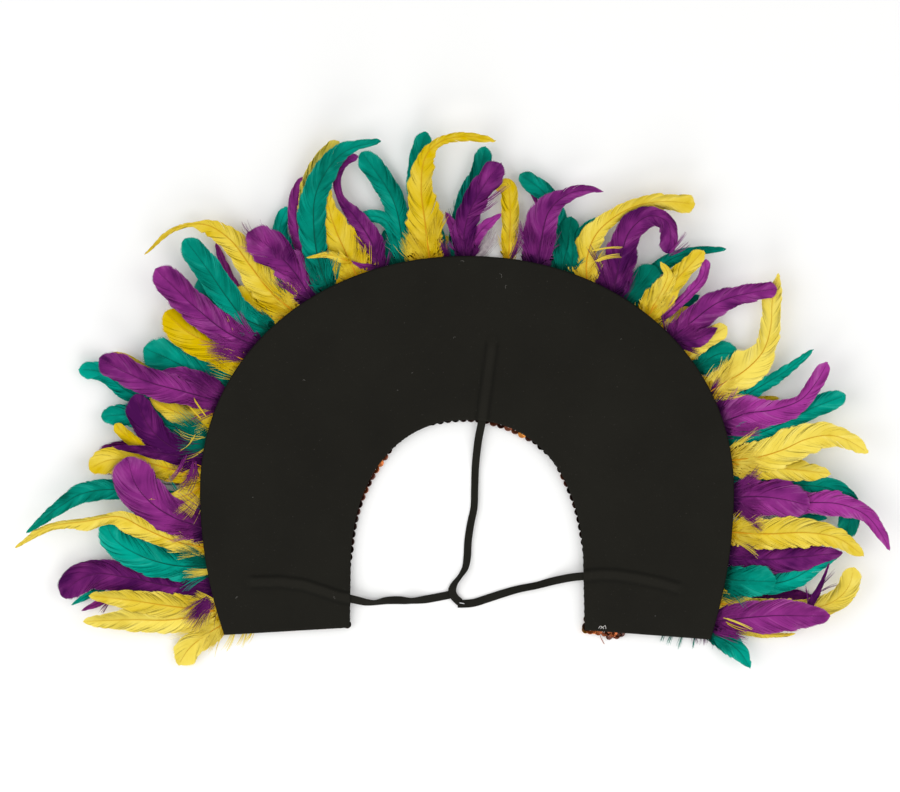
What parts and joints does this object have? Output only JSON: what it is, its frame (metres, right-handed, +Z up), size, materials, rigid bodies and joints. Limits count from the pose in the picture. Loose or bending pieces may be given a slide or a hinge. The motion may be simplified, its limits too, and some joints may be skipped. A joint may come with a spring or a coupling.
{
  "type": "carnival feather headdress",
  "caption": "Flat horseshoe headdress with a fan of dyed purple, green and yellow feathers, a sequin edge round the arch and elastic straps behind.",
  "frame": {"origin": "bottom centre of the bounding box, on the surface that the headdress lies on, front down", "axes": "+X across the headdress, towards the right of its back; +Y from the open feet of the arch to its top; +Z up, out of its back"},
  "size_m": [0.6088, 0.3756, 0.0328],
  "materials": {
    "black_cloth": "matt black woven cloth over board",
    "facing_cloth": "plain dark copper-brown cloth",
    "elastic": "flat woven black elastic",
    "sequins": "metallic copper and amber",
    "staple_steel": "bright wire",
    "purple_feather": "dyed feather",
    "green_feather": "dyed feather",
    "yellow_feather": "dyed feather"
  },
  "bodies": {
    "root": {"back_panel": "black_cloth", "front_facing": "facing_cloth", "plume_green_01": "green_feather", "plume_green_02": "green_feather", "plume_green_03": "green_feather", "plume_green_04": "green_feather", "plume_green_05": "green_feather", "plume_green_06": "green_feather", "plume_green_07": "green_feather", "plume_green_08": "green_feather", "plume_green_09": "green_feather", "plume_green_10": "green_feather", "plume_green_11": "green_feather", "plume_green_12": "green_feather", "plume_green_13": "green_feather", "plume_green_14": "green_feather", "plume_green_15": "green_feather", "plume_green_16": "green_feather", "plume_green_17": "green_feather", "plume_purple_01": "purple_feather", "plume_purple_02": "purple_feather", "plume_purple_03": "purple_feather", "plume_purple_04": "purple_feather", "plume_purple_05": "purple_feather", "plume_purple_06": "purple_feather", "plume_purple_07": "purple_feather", "plume_purple_08": "purple_feather", "plume_purple_09": "purple_feather", "plume_purple_10": "purple_feather", "plume_purple_11": "purple_feather", "plume_purple_12": "purple_feather", "plume_purple_13": "purple_feather", "plume_purple_14": "purple_feather", "plume_purple_15": "purple_feather", "plume_purple_16": "purple_feather", "plume_yellow_01": "yellow_feather", "plume_yellow_02": "yellow_feather", "plume_yellow_03": "yellow_feather", "plume_yellow_04": "yellow_feather", "plume_yellow_05": "yellow_feather", "plume_yellow_06": "yellow_feather", "plume_yellow_07": "yellow_feather", "plume_yellow_08": "yellow_feather", "plume_yellow_09": "yellow_feather", "plume_yellow_10": "yellow_feather", "plume_yellow_11": "yellow_feather", "plume_yellow_12": "yellow_feather", "plume_yellow_13": "yellow_feather", "plume_yellow_14": "yellow_feather", "plume_yellow_15": "yellow_feather", "plume_yellow_16": "yellow_feather", "plume_yellow_17": "yellow_feather", "plume_yellow_18": "yellow_feather", "sequin_trim_left": "sequins", "sequin_trim_right": "sequins", "staple": "staple_steel", "strap_left": "elastic", "strap_right": "elastic", "strap_top": "elastic"}
  },
  "joints": []
}
